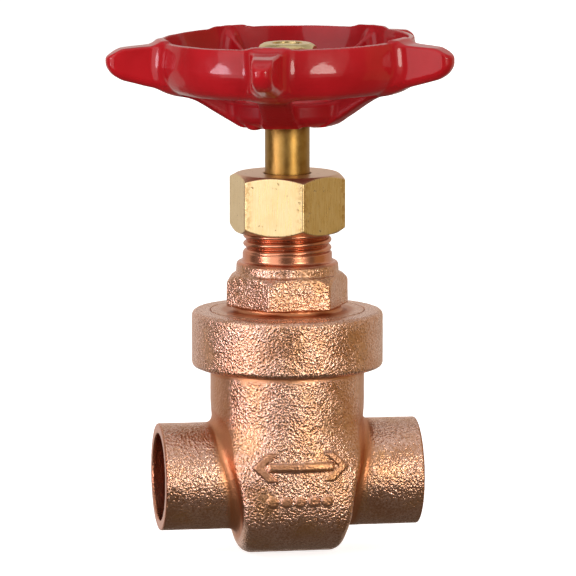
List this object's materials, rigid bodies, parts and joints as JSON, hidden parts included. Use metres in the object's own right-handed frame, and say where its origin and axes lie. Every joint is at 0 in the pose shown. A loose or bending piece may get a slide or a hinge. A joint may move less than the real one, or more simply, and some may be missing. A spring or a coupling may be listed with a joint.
{
  "type": "gate valve",
  "caption": "Bronze gate valve with solder cup ends, screwed bonnet, non-rising brass stem with packing nut, sliding wedge and a red lobed handwheel.",
  "frame": {"origin": "where the pipe axis and the stem axis cross, in the middle of the wedge when shut", "axes": "+X along the pipe, +Z along the stem towards the handwheel, -Y towards the side the picture shows"},
  "size_m": [0.0613, 0.0643, 0.0957],
  "materials": {
    "cast_bronze": "rough shot-blasted casting",
    "machined_bronze": "machined",
    "stem_brass": "turned",
    "nut_brass": "bright drawn and turned",
    "red_enamel": "thick glossy enamel over cast metal",
    "graphite_packing": "pressed graphite cord",
    "gasket_fibre": "matte compressed fibre",
    "zinc_steel": "zinc plated"
  },
  "bodies": {
    "valve": {"body": "cast_bronze", "bonnet": "cast_bronze", "bonnet_gasket": "gasket_fibre", "packing_washer": "nut_brass", "packing_ring_1": "graphite_packing", "packing_ring_2": "graphite_packing", "packing_ring_3": "graphite_packing", "packing_ring_4": "graphite_packing", "gland": "nut_brass", "packing_nut": "nut_brass"},
    "stem_and_handwheel": {"stem": "stem_brass", "handwheel": "red_enamel", "wheel_washer": "zinc_steel", "handwheel_nut": "nut_brass"},
    "gate": {"wedge": "machined_bronze"}
  },
  "joints": [
    {"name": "handwheel_turn", "type": "hinge", "parent": "valve", "child": "stem_and_handwheel", "pos_m": [0, 0, 0.0403], "axis": [0, 0, 1], "range_deg": [0, 2052]},
    {"name": "wedge_lift", "type": "slide", "parent": "valve", "child": "gate", "axis": [0, 0, 1], "range_m": [0, 0.01426]}
  ],
  "couplings": [
    {"joint": "wedge_lift", "follows": "handwheel_turn", "m_per_rad": 0.00039789}
  ]
}
